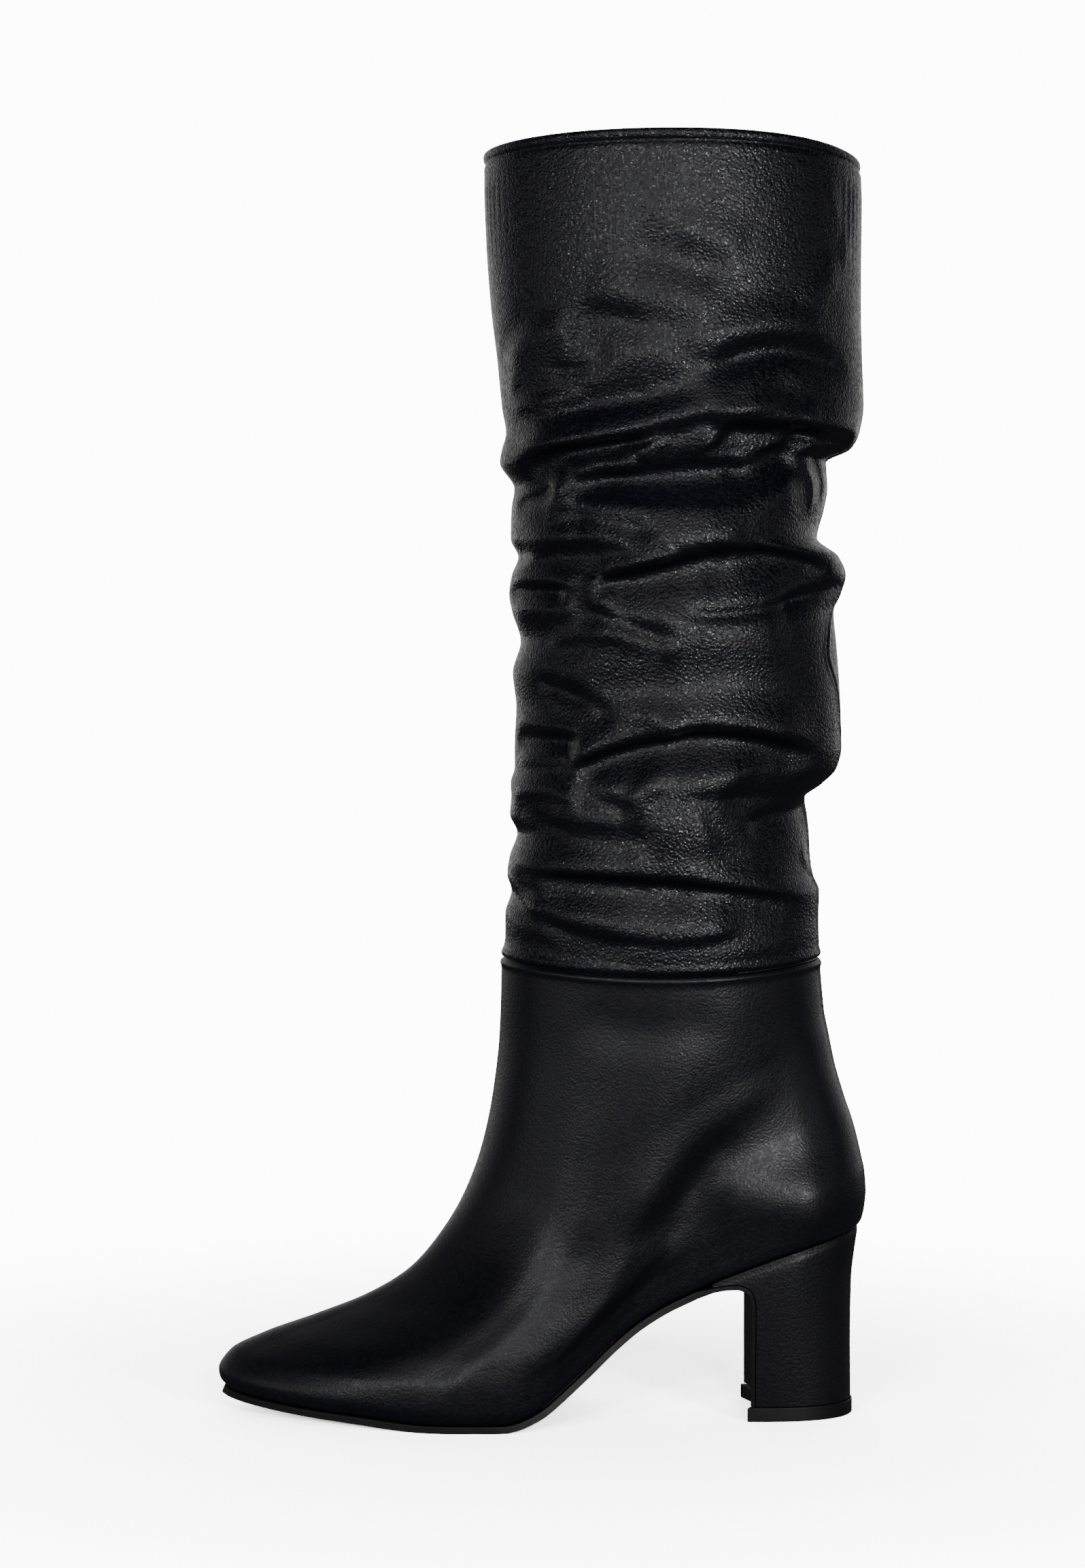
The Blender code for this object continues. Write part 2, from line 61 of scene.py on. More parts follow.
# Foot outline from below: distance behind the toe tip, outer half width, inner half width
FOOT_OUTLINE = (
    (0, 0, 0), (6, 12.5, 12), (19, 23, 22), (36, 32, 29.5), (56, 39, 34.5), (75, 43.5, 37.5),
    (90, 46, 38.5), (104, 46, 38), (120, 43, 35), (140, 36.5, 28.5), (160, 31.5, 23.5),
    (180, 29.5, 22.5), (200, 29.5, 25), (215, 29, 27.5), (230, 24.5, 24.5), (240, 16, 16),
    (244.6, 0, 0),
)
# Sections from the sole up to the ankle: x and height of the front point, x and height of the
# back point, share of the ankle's shape, width factor, bluntness of the front, share of the
# foot bottom's curve
FOOT_SECTIONS = (
    (-122.9, 11.3, 121.7, 72.0, 0.00, 1.00, 1.00, 1.00),
    (-123.9, 16.5, 123.3, 78.0, 0.02, 1.03, 1.00, 1.00),
    (-119.5, 23.5, 124.0, 85.0, 0.06, 1.04, 0.95, 0.95),
    (-106.0, 30.3, 123.6, 92.0, 0.14, 1.03, 0.85, 0.88),
    (-86.0, 37.4, 122.0, 100.0, 0.24, 1.00, 0.75, 0.78),
    (-66.4, 45.2, 119.4, 110.5, 0.38, 0.96, 0.68, 0.62),
    (-50.7, 54.9, 115.5, 122.0, 0.52, 0.94, 0.68, 0.45),
    (-38.0, 69.7, 112.0, 134.0, 0.66, 0.94, 0.75, 0.30),
    (-29.8, 83.7, 109.6, 146.0, 0.78, 0.95, 0.85, 0.18),
    (-23.0, 102.0, 108.0, 154.0, 0.87, 0.97, 0.95, 0.10),
    (-18.6, 123.0, 107.2, 162.0, 0.94, 0.98, 1.00, 0.05),
    (-16.0, 147.0, 106.7, 168.0, 0.98, 0.99, 1.00, 0.02),
    (ANKLE_FRONT, ANKLE_HEIGHT, ANKLE_BACK, ANKLE_HEIGHT, 1.00, 1.00, 1.00, 0.00),
)
# Soft creases of the outer side, seen from the side: x and height of the start, middle and
# end, how far it stands out, spread above and below
FOOT_FOLDS = (
    (92, 133, 56, 106, 33, 68, 1.4, 10, 7), (78, 112, 55, 92, 40, 63, -1.4, 7, 9),
    (10, 158, 40, 150, 72, 156, -0.8, 9, 9), (-12, 96, 4, 74, 22, 60, -0.5, 9, 9),
    (58, 90, 88, 87, 118, 84, 3.0, 14, 14),
)
FEATHER_ROUND = 2.4
TURNED_UNDER = 6.0
# Ankle seam: radius of its edges, then height and distance from the seam of the swell over its
# allowance
SEAM_ROUND = 0.9
SEAM_SWELL = 0.6
SWELL_AWAY = 1.8
FOOT_SWELL_SPREAD = 1.2
# Back seam: depth and half width in degrees of its groove, then rise, place and half width of
# its two edges
BACK_SEAM_DEPTH = 0.55
BACK_SEAM_SPREAD = 0.8
SEAM_EDGE_RISE = 0.25
SEAM_EDGE_AWAY = 2.0
SEAM_EDGE_SPREAD = 1.1
# Back seam of the foot part: height, angle round the leg
FOOT_BACK_SEAM = ((0, 179), (70, 179), (110, 178), (140, 174), (175, 171))


def smooth(xs, ys):
    """A curve through the points that never overshoots and stays flat between equals."""
    xs = np.asarray(xs, float)
    ys = np.asarray(ys, float)
    step = np.diff(xs)
    rise = np.diff(ys) / step
    slope = np.zeros_like(ys)
    slope[0] = rise[0]
    slope[-1] = rise[-1]
    for i in range(1, len(ys) - 1):
        if rise[i - 1] * rise[i] > 0:
            slope[i] = 2 * rise[i - 1] * rise[i] / (rise[i - 1] + rise[i])

    def value(x):
        x = np.clip(x, xs[0], xs[-1])
        i = np.clip(np.searchsorted(xs, x) - 1, 0, len(step) - 1)
        t = (x - xs[i]) / step[i]
        ends = (1 + 2 * t) * (1 - t) ** 2 * ys[i] + t * t * (3 - 2 * t) * ys[i + 1]
        return ends + step[i] * (t * (1 - t) ** 2 * slope[i] - t * t * (1 - t) * slope[i + 1])

    return value


def column(table, index):
    return [row[index] for row in table]


def turn_at(x):
    """A place along the foot as a half turn from toe to heel, fine at both ends."""
    return np.arccos(1 - 2 * np.clip((np.asarray(x, float) - TOE_X) / FOOT_LENGTH, 0, 1))


bottom_height = smooth(column(BOTTOM_LINE, 0), column(BOTTOM_LINE, 1))
outline_turns = [float(turn_at(TOE_X + row[0])) for row in FOOT_OUTLINE]
outer_width = smooth(outline_turns, column(FOOT_OUTLINE, 1))
inner_width = smooth(outline_turns, column(FOOT_OUTLINE, 2))


def half_width(x, side):
    """Half width of the foot's outline at x, for the outer (-1) or the inner (+1) side."""
    return np.where(np.asarray(side) < 0, outer_width(turn_at(x)), inner_width(turn_at(x)))


def fold_relief(across, height, folds, scale):
    """Adds up ridges and troughs, each a curve through three points with its own spreads."""
    steps = 12
    total = np.zeros(across.shape)
    for a0, z0, a1, z1, a2, z2, rise, above, below in folds:
        start, middle, end = np.array(((a0, z0), (a1, z1), (a2, z2)), float) * (scale, 1)
        t = np.linspace(0, 1, steps + 1)[:, None]
        path = (1 - t) * (1 - 2 * t) * start + 4 * t * (1 - t) * middle + t * (2 * t - 1) * end
        best = np.full(across.shape, 1e9)
        along = np.zeros(across.shape)
        over = np.zeros(across.shape)
        for i, (a, b) in enumerate(zip(path[:-1], path[1:])):
            run, climb = b - a
            px = across * scale - a[0]
            pz = height - a[1]
            reach = np.clip((px * run + pz * climb) / (run * run + climb * climb), 0, 1)
            away = np.hypot(px - reach * run, pz - reach * climb)
            nearer = away < best
            best = np.where(nearer, away, best)
            along = np.where(nearer, (i + reach) / steps, along)
            over = np.where(nearer, (pz * run - px * climb) * np.sign(run + 1e-9), over)
        taper = np.clip(np.minimum(along, 1 - along) * 4, 0, 1)
        taper = taper * taper * (3 - 2 * taper)
        spread = np.where(over > 0, above, below)
        total += rise * taper * np.exp(-(best / spread) ** 2)
    return total


def ring_edges(loop):
    """The edges between neighbours of a closed ring of vertices, in order."""
    pairs = zip(loop, loop[1:] + loop[:1])
    return [next(edge for edge in a.link_edges if edge.other_vert(a) is b) for a, b in pairs]


def partner(vert, fresh):
    """The freshly extruded vertex that an edge joins to this one."""
    others = (edge.other_vert(vert) for edge in vert.link_edges)
    return next(other for other in others if other in fresh)


def skin(rings, capped=False):
    """Extrudes a ring of edges through all the given rings of points."""
    mesh = bmesh.new()
    loop = bmesh.ops.create_circle(mesh, segments=len(rings[0]), radius=1)["verts"]
    for vert, point in zip(loop, rings[0]):
        vert.co = Vector(point) * MM
    first = loop
    for ring in rings[1:]:
        made = bmesh.ops.extrude_edge_only(mesh, edges=ring_edges(loop))["geom"]
        fresh = set(part for part in made if isinstance(part, bmesh.types.BMVert))
        loop = [partner(vert, fresh) for vert in loop]
        for vert, point in zip(loop, ring):
            vert.co = Vector(point) * MM
    if capped:
        mesh.faces.new(first)
        mesh.faces.new(loop)
    return mesh


def finish_piece(name, mesh, material, node, outward=True, sharp=50):
    """Makes the mesh an object of the boot, rides it on the body and hides the CAD part that it
    stands for, if any.

    An open skin says whether its faces point out of the boot. A closed piece gives None.
    """
    bmesh.ops.recalc_face_normals(mesh, faces=mesh.faces)
    if outward is not None and open_skin_points_in(mesh) == outward:
        bmesh.ops.reverse_faces(mesh, faces=mesh.faces)
    data = bpy.data.meshes.new(name)
    mesh.to_mesh(data)
    mesh.free()
    data.shade_smooth()
    data.set_sharp_from_angle(angle=math.radians(sharp))
    data.materials.append(material)
    piece = bpy.data.objects.new(name, data)
    bpy.context.scene.collection.objects.link(piece)
    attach(piece, "root")
    if node:
        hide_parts(node)
    return piece


def open_skin_points_in(mesh):
    """True if a tube's faces point to its middle."""
    middle = sum((vert.co for vert in mesh.verts), Vector()) / len(mesh.verts)
    total = 0.0
    for face in mesh.faces:
        away = face.calc_center_median() - middle
        away.z = 0
        total += face.normal.dot(away.normalized()) * face.calc_area()
    return total < 0


def colour(hex_code):
    """An sRGB hex value as linear red, green, blue and alpha."""
    parts = [int(hex_code[i:i + 2], 16) / 255 for i in (0, 2, 4)]
    return (*[p / 12.92 if p <= 0.04045 else ((p + 0.055) / 1.055) ** 2.4 for p in parts], 1.0)


def add_node(tree, kind, inputs, **settings):
    """Adds a node with its settings, and sets or links each named or numbered input."""
    node = tree.nodes.new(kind)
    for key, value in settings.items():
        setattr(node, key, value)
    for key, value in inputs.items():
        if isinstance(value, bpy.types.NodeSocket):
            tree.links.new(value, node.inputs[key])
        else:
            node.inputs[key].default_value = value
    return node


def nappa_leather(name, base, worn, grain_mm, grain_depth_mm, roughness, glint_spread):
    """Drum-dyed black nappa with a pressed pebble grain and a thin satin finish.

    The colour drifts from base to worn in soft patches, and each pebble is a little duller or
    glossier than the next, so the leather glitters finely where it mirrors a lamp.
    """
    grain_scale = 1 / (grain_mm * MM)
    material = bpy.data.materials.new(name)
    material.use_nodes = True
    tree = material.node_tree
    shader = tree.nodes["Principled BSDF"]
    place = add_node(tree, "ShaderNodeTexCoord", {}).outputs["Object"]
    stray = add_node(tree, "ShaderNodeTexNoise", {"Vector": place, "Scale": 500, "Detail": 1})
    bent = add_node(tree, "ShaderNodeVectorMath", {0: stray.outputs["Color"], "Scale": 0.0006},
                    operation="SCALE")
    spot = add_node(tree, "ShaderNodeVectorMath", {0: place, 1: bent.outputs[0]}, operation="ADD")
    pebbles = add_node(tree, "ShaderNodeTexVoronoi",
                       {"Vector": spot.outputs[0], "Scale": grain_scale, "Smoothness": 0.6},
                       feature="SMOOTH_F1")
    clouds = add_node(tree, "ShaderNodeTexNoise", {"Vector": place, "Scale": 22, "Detail": 4})
    wrinkles = add_node(tree, "ShaderNodeTexNoise",
                        {"Vector": place, "Scale": 110, "Detail": 2, "Roughness": 0.5})
    tint = add_node(tree, "ShaderNodeMix", {0: clouds.outputs[0], 6: colour(base), 7: colour(worn)},
                    data_type="RGBA")
    dull = add_node(tree, "ShaderNodeMapRange",
                    {0: clouds.outputs[0], 1: 0.3, 2: 0.7,
                     3: roughness - 0.03, 4: roughness + 0.04})
    cells = add_node(tree, "ShaderNodeTexVoronoi",
                     {"Vector": spot.outputs[0], "Scale": grain_scale})
    parts = add_node(tree, "ShaderNodeSeparateColor", {0: cells.outputs["Color"]})
    glint = add_node(tree, "ShaderNodeMapRange",
                     {0: parts.outputs[0], 3: -glint_spread, 4: glint_spread})
    rough = add_node(tree, "ShaderNodeMath", {0: dull.outputs[0], 1: glint.outputs[0]})
    low = add_node(tree, "ShaderNodeBump",
                   {"Height": wrinkles.outputs[0], "Strength": 0.2, "Distance": 0.25 * MM})
    grain = add_node(tree, "ShaderNodeBump",
                     {"Height": pebbles.outputs["Distance"], "Strength": 0.9,
                      "Distance": grain_depth_mm * MM, "Normal": low.outputs[0]}, invert=True)
    tree.links.new(tint.outputs[2], shader.inputs["Base Color"])
    tree.links.new(rough.outputs[0], shader.inputs["Roughness"])
    tree.links.new(grain.outputs[0], shader.inputs["Normal"])
    shader.inputs["IOR"].default_value = 1.5
    shader.inputs["Coat Weight"].default_value = 0.12
    shader.inputs["Coat Roughness"].default_value = 0.35
    return material


# The grain of soft nappa is about 0.5 mm and is drawn at about 1 mm, so that it shows. Over the
# last it is pulled nearly flat.
upper_leather = nappa_leather("black nappa leather, upper", base="0b0b17", worn="121220",
                              grain_mm=0.9, grain_depth_mm=0.10, roughness=0.38, glint_spread=0.07)


def egg_rings(shares, turns):
    """Sections of the foot part between its front and back points, blended sole to ankle."""
    place = np.linspace(0, 1, len(FOOT_SECTIONS))
    columns = [smooth(place, column(FOOT_SECTIONS, i))(shares)[:, None] for i in range(8)]
    front_x, front_z, back_x, back_z, ankle, width, blunt, sag = columns
    share = (1 - np.cos(turns)) / 2
    side = np.where(np.sin(turns) >= 0, -1, 1)
    sine = np.abs(np.sin(turns))
    line = BOTTOM_LINE[0][1] + share * (BOTTOM_LINE[-1][1] - BOTTOM_LINE[0][1])
    dip = bottom_height(TOE_X + share * FOOT_LENGTH) - line
    near_front = np.minimum(share / 0.3, 1)
    nose = blunt + (1 - blunt) * near_front ** 2 * (3 - 2 * near_front)
    foot = half_width(TOE_X + share * FOOT_LENGTH, side)
    half = width * nose * (foot + ankle * (ANKLE_HALF_WIDTH * sine - foot))
    x = front_x + share * (back_x - front_x)
    z = front_z + share * (back_z - front_z) + sag * dip - ankle ** 4 * ANKLE_DIP * sine ** 2
    fade = np.clip(sine * 3, 0, 1) * np.where(side < 0, 1.0, 0.5)
    half = half + fade * fold_relief(x, z, FOOT_FOLDS, 1.0)
    return np.stack((x, side * half, z), axis=-1)


def outward_normals(grid):
    """Normals of a tube of rings, pointing out of it."""
    around = np.roll(grid, -1, axis=1) - np.roll(grid, 1, axis=1)
    along = np.gradient(grid, axis=0)
    normal = np.cross(around, along)
    normal /= np.linalg.norm(normal, axis=2, keepdims=True) + 1e-12
    out = grid - grid.mean(axis=1, keepdims=True)
    out[..., 2] = 0
    return normal * np.sign(np.sum(normal * out))


def leg_turns():
    """Turns round the leg from the front over the outer side, closer near the back seam."""
    degrees = np.concatenate((np.linspace(0, 148, 118, endpoint=False),
                              np.linspace(148, 184, 66, endpoint=False),
                              np.linspace(184, 360, 96, endpoint=False)))
    return np.radians(degrees)


def seam_groove(turns, centre):
    """A closed butt seam: a narrow groove between two slightly raised edges."""
    away = np.degrees(turns) - centre
    groove = np.exp(-(away / BACK_SEAM_SPREAD) ** 2)
    edges = np.exp(-((np.abs(away) - SEAM_EDGE_AWAY) / SEAM_EDGE_SPREAD) ** 2)
    return -BACK_SEAM_DEPTH * groove + SEAM_EDGE_RISE * edges


turns = leg_turns()
foot_shares = np.concatenate((np.linspace(0, 0.02, 7, endpoint=False),
                              np.linspace(0.02, 0.985, 125, endpoint=False),
                              np.linspace(0.985, 1, 9)))
foot_grid = egg_rings(foot_shares, turns)
foot_normals = outward_normals(foot_grid)
foot_height = foot_grid[..., 2]
rise_over_sole = foot_height - foot_grid[0][None, :, 2]
tuck = 1 - np.clip(rise_over_sole / FEATHER_ROUND, 0, 1)
below_seam = foot_grid[-1][None, :, 2] - foot_height
roll = 1 - np.clip(below_seam / SEAM_ROUND, 0, 1)
swell = SEAM_SWELL * np.exp(-((below_seam - SWELL_AWAY) / FOOT_SWELL_SPREAD) ** 2)
seam_angle = smooth(column(FOOT_BACK_SEAM, 0), column(FOOT_BACK_SEAM, 1))(foot_height)
relief = swell + seam_groove(turns[None, :], seam_angle) * np.clip(below_seam / 2, 0, 1)
relief -= FEATHER_ROUND * 0.8 * (1 - np.sqrt(1 - tuck ** 2))
relief -= SEAM_ROUND * (1 - np.sqrt(1 - roll ** 2))
foot_points = foot_grid + foot_normals * relief[..., None]
foot_points[0, :, 2] = foot_grid[0, :, 2]
under = foot_points[0] - foot_normals[0] * TURNED_UNDER
under[:, 2] = foot_points[0][:, 2] - 0.05
inside_top = foot_points[-1] - foot_normals[-1] * 0.9 + (0, 0, 3)
foot_mesh = skin([under, *foot_points, inside_top])
finish_piece("foot_leather", foot_mesh, upper_leather, "upper")


# Shaft: a wide tube of the same leather, pushed down so that it lies in rolls and pockets. It is
# sewn to the foot part at the ankle, closed by a back seam, and its top edge is turned over and
# stitched into a soft roll.
COLLAR_HEIGHT = 482.0
COLLAR_BACK_DIP = 5.5
COLLAR_FRONT_DIP = 2.0
SHAFT_RADIUS = 60.0
# Folds: size factor, how far they sag and how far they push forward and back as shares of their
# depth, and the heights over which they die out at the ankle and the collar
FOLD_SIZE = 0.85
FOLD_DROOP = 0.3
FOLD_PUSH = 0.6
ANKLE_FADE = 40.0
COLLAR_FADE = 60.0
# Sections: height, front x, back x, half width
SHAFT_SECTIONS = (
    (ANKLE_HEIGHT, ANKLE_FRONT, ANKLE_BACK, ANKLE_HALF_WIDTH), (183, -13.9, 105.9, 43.5),
    (191, -13.9, 105.8, 44), (200, -11.5, 106.0, 44.5), (206, -13.1, 103.6, 45),
    (213, -12.2, 102.5, 45), (222, -9.3, 102.0, 45.5), (229, -12.1, 101.3, 46),
    (236, -11.6, 100.2, 46), (241, -11.8, 106.7, 46.5), (247, -10.3, 112.6, 47),
    (255, -10.3, 114.4, 47), (270, -9.7, 114.1, 47.5), (283, -11.0, 113.4, 48),
    (295, -8.0, 112.4, 48.5), (306, -11.2, 111.4, 48.5), (313, -12.4, 114.0, 49),
    (320, -11.4, 115.8, 49), (327, -8.9, 113.0, 49), (334, -11.8, 104.8, 49.5),
    (345, -11.5, 107.4, 50), (353, -10.4, 108.7, 50), (363, -15.9, 108.2, 50.5),
    (368, -15.1, 117.5, 51), (374, -13.6, 120.8, 51), (384, -15.1, 122.4, 51.5),
    (402, -16.9, 121.8, 52), (422, -19.3, 121.3, 52.5), (448, -21.1, 121.4, 53.5),
    (471, -21.8, 121.6, 54), (COLLAR_HEIGHT, -21.6, 120.4, 54),
)
# Ridges and troughs, from the collar down, each placed on the photo: angle round the leg
# and height of the start, middle and end, how far it stands out, spread above and below. 0
# degrees is the front, 90 the outer side, 180 the back and 270 the inner side.
PANEL_FOLDS = (
    (60, 428, 81, 420, 110, 417, 1.6, 9, 6),
    (74, 441, 90, 434, 106, 426, -1.5, 8, 7),
    (88, 446, 99, 442, 112, 438, 1.1, 7, 6),
    (55, 416, 67, 413, 82, 409, -1.5, 4, 5),
    (14, 395, 38, 409, 55, 412, 2.4, 4, 10),
    (8, 399, 33, 411, 57, 415, -0.8, 5, 4),
    (55, 410, 61, 404, 68, 394, -1.2, 6, 6),
    (63, 404, 74, 400, 91, 402, 0.9, 6, 6),
    (90, 397, 112, 410, 149, 408, 2.6, 7, 5),
    (95, 388, 119, 401, 156, 392, -3.6, 4, 6),
    (100, 385, 114, 394, 132, 395, 1.0, 5, 5),
    (22, 392, 41, 395, 67, 393, -1.2, 2.5, 3),
    (14, 388, 32, 394, 50, 393, 1.4, 3, 4),
    (14, 382, 39, 384, 61, 384, 1.6, 3, 4),
    (39, 381, 70, 382, 97, 389, -3.0, 7, 5),
    (127, 417, 144, 431, 157, 451, 1.6, 5, 6),
    (143, 457, 149, 445, 145, 427, -0.9, 4, 4),
    (142, 468, 146, 457, 150, 442, 0.8, 3, 3),
)
UPPER_FOLDS = (
    (17, 369, 58, 370, 81, 377, 4.4, 9, 4),
    (71, 374, 96, 380, 124, 385, 4.4, 9, 5),
    (23, 355, 57, 364, 82, 365, -5.5, 4, 5),
    (50, 356, 66, 358, 83, 359, 2.6, 3, 3),
    (78, 368, 84, 364, 81, 358, 1.4, 3, 3),
    (49, 354, 84, 354, 121, 358, -6.0, 6, 9),
    (105, 356, 123, 359, 144, 364, -4.0, 6, 7),
    (67, 347, 94, 346, 128, 348, -0.8, 1.5, 1.5),
    (51, 356, 45, 350, 54, 344, 1.8, 3.5, 4),
    (49, 346, 84, 344, 117, 346, 4.2, 4.5, 24),
    (106, 345, 125, 347, 141, 357, 3.2, 4.5, 12),
    (144, 363, 151, 353, 152, 342, 1.3, 2.5, 2.5),
    (149, 365, 159, 357, 159, 345, -1.5, 3, 3),
    (100, 370, 115, 370, 142, 371, -5.0, 4, 6),
    (126, 371, 142, 370, 174, 369, -4.5, 3, 4),
    (95, 376, 114, 377, 139, 376, 3.4, 6, 2.5),
    (127, 376, 146, 374, 180, 372, 3.4, 6, 2.5),
    (94, 375, 100, 367, 112, 359, 1.5, 4, 4),
    (106, 362, 117, 362, 128, 367, 1.6, 3, 4),
    (13, 346, 32, 348, 42, 353, -2.2, 2.5, 3),
    (42, 358, 42, 348, 44, 337, 1.0, 4.5, 4.5),
    (47, 340, 69, 338, 87, 333, -2.4, 4, 6),
    (49, 334, 64, 335, 80, 333, 0.8, 5, 5),
    (15, 323, 38, 331, 57, 333, 2.2, 5, 4),
    (58, 321, 74, 324, 91, 330, 3.0, 5, 4),
    (65, 320, 91, 330, 120, 333, 4.0, 9, 6),
    (104, 332, 131, 332, 180, 322, 4.0, 9, 6),
    (62, 312, 80, 320, 107, 325, -5.0, 4, 11),
    (92, 323, 117, 326, 155, 319, -5.0, 4, 12),
    (59, 310, 74, 304, 95, 303, 3.6, 11, 22),
    (81, 303, 107, 303, 133, 306, 3.2, 11, 20),
    (90, 305, 114, 305, 145, 311, -1.6, 2.5, 2.5),
    (128, 307, 145, 312, 180, 318, -3.0, 3, 4),
    (62, 320, 60, 313, 63, 305, 1.8, 4, 3),
    (0, 314, 32, 313, 50, 312, -4.0, 3, 3.5),
    (0, 320, 36, 318, 57, 315, 1.6, 4, 3),
    (0, 308, 36, 307, 55, 307, 1.6, 3, 5),
)
MIDDLE_FOLDS = (
    (56, 307, 72, 300, 89, 293, -2.0, 4, 7),
    (32, 293, 56, 298, 76, 296, 2.0, 4, 4),
    (66, 297, 79, 294, 90, 291, 1.5, 3, 4),
    (26, 281, 52, 273, 68, 265, -2.6, 4, 4),
    (49, 273, 68, 269, 87, 269, 2.0, 6, 4),
    (5, 258, 35, 257, 54, 256, -3.6, 4, 4),
    (0, 265, 35, 263, 55, 261, 1.6, 3, 3),
    (9, 251, 35, 252, 48, 252, 1.3, 4, 4),
    (44, 248, 71, 259, 94, 263, 4.0, 9, 4.5),
    (78, 261, 106, 265, 146, 255, 4.0, 9, 5),
    (47, 244, 73, 254, 99, 257, -5.0, 3.5, 11),
    (85, 257, 111, 257, 150, 249, -5.0, 3.5, 11),
    (45, 246, 65, 242, 91, 241, 3.8, 11, 20),
    (74, 241, 96, 241, 123, 243, 3.2, 11, 20),
    (180, 250, 180, 240, 132, 232, 4.0, 6, 3),
    (180, 233, 144, 230, 121, 222, -4.0, 4, 9),
    (3, 236, 38, 239, 60, 235, 2.0, 4, 3),
    (48, 237, 62, 231, 79, 228, 0.8, 5, 5),
    (44, 243, 63, 236, 83, 231, -2.2, 4, 7),
    (12, 230, 35, 228, 53, 223, -2.0, 4, 4),
    (81, 227, 96, 221, 112, 224, 2.2, 12, 9),
)
LOWER_FOLDS = (
    (0, 212, 56, 211, 88, 210, 3.0, 7, 3.5),
    (76, 210, 103, 208, 165, 198, 2.6, 8, 3.5),
    (31, 206, 71, 205, 101, 203, -3.2, 2.5, 8),
    (86, 205, 111, 202, 147, 197, -2.6, 2.5, 8),
    (0, 207, 24, 199, 43, 193, 2.5, 3, 2.5),
    (23, 202, 54, 194, 81, 191, 3.2, 9, 5),
    (65, 191, 93, 188, 121, 192, 3.4, 8, 3),
    (39, 191, 63, 186, 88, 185, -2.2, 2.5, 4),
    (0, 189, 58, 186, 88, 182, 1.8, 3, 4),
    (71, 182, 105, 181, 166, 186, 1.8, 4, 5),
    (55, 177, 86, 176, 124, 177, 1.0, 4, 3),
    (156, 217, 167, 209, 180, 202, 1.2, 3, 3),
)
# The photo hides the inner side: its rolls and troughs are guessed, about as far apart as the
# outer side's
INNER_FOLDS = (
    (184, 384, 270, 376, 356, 363, 4.0, 9, 4), (184, 366, 270, 366, 340, 355, -3.0, 4, 7),
    (184, 345, 270, 350, 356, 342, 3.0, 8, 4), (184, 336, 270, 338, 356, 328, -3.0, 4, 7),
    (184, 320, 270, 318, 356, 319, 4.0, 9, 4), (184, 303, 270, 306, 356, 300, -3.0, 4, 7),
    (184, 285, 270, 280, 356, 283, 3.0, 9, 4), (184, 264, 270, 266, 356, 258, -2.5, 4, 7),
    (184, 250, 270, 245, 356, 240, 3.5, 9, 4), (184, 226, 270, 233, 356, 224, -3.5, 4, 8),
    (184, 205, 270, 208, 356, 210, 3.0, 8, 4), (184, 195, 270, 197, 356, 200, -2.5, 3, 6),
    (184, 184, 270, 184, 356, 186, 2.0, 6, 4), (196, 360, 222, 352, 250, 356, 1.6, 5, 4),
    (290, 334, 315, 326, 345, 330, 1.5, 5, 4), (200, 296, 232, 291, 262, 296, 1.5, 5, 4),
    (285, 268, 312, 262, 340, 268, 1.6, 5, 4), (205, 236, 235, 228, 262, 232, 1.6, 5, 4),
    (280, 224, 308, 218, 338, 224, 1.4, 5, 4), (230, 400, 262, 394, 300, 398, 1.2, 8, 6),
)
# Rolled collar edge: depth below the top, outward step
COLLAR_ROLL = (
    (12.0, 0.0), (9.0, 0.0), (7.4, 0.1), (6.4, 0.1), (5.6, -0.05), (5.0, -0.3), (4.5, -0.4),
    (4.0, -0.2), (3.5, 0.2), (2.9, 0.4), (2.2, 0.5), (1.5, 0.5), (0.9, 0.35), (0.45, 0.1),
    (0.15, -0.3), (0.0, -1.0), (0.15, -1.8), (0.6, -2.4), (1.4, -2.8), (3.0, -2.9), (6.0, -2.4),
    (14.0, -2.2),
)
# Fine upright puckers under the roll, near the front and the back, drawn in by the stitching:
# pitch in degrees, depth, the height at which they start and over which they grow
PUCKER_PITCH = 4.2
PUCKER_DEPTH = 0.28
PUCKER_START = 428.0
PUCKER_GROWTH = 40.0
# Where they lie: angle round the leg, spread, share of the depth
PUCKER_PLACES = ((17, 9, 1.0), (158, 8, 0.8))
SHAFT_SWELL_SPREAD = 1.4
# Back seam of the shaft: height, angle round the leg
SHAFT_BACK_SEAM = (
    (174, 171), (200, 171), (250, 172), (275, 166), (290, 156), (300, 160), (312, 172),
    (340, 176), (482, 176),
)

# The slack leather of the shaft keeps its full grain, which is deeper and glossier.
shaft_leather = nappa_leather("black nappa leather, shaft", base="0b0b17", worn="121220",
                              grain_mm=1.0, grain_depth_mm=0.30, roughness=0.31, glint_spread=0.17)
shaft_curves = [smooth(column(SHAFT_SECTIONS, 0), column(SHAFT_SECTIONS, i)) for i in (1, 2, 3)]
every_fold = PANEL_FOLDS + UPPER_FOLDS + MIDDLE_FOLDS + LOWER_FOLDS + INNER_FOLDS


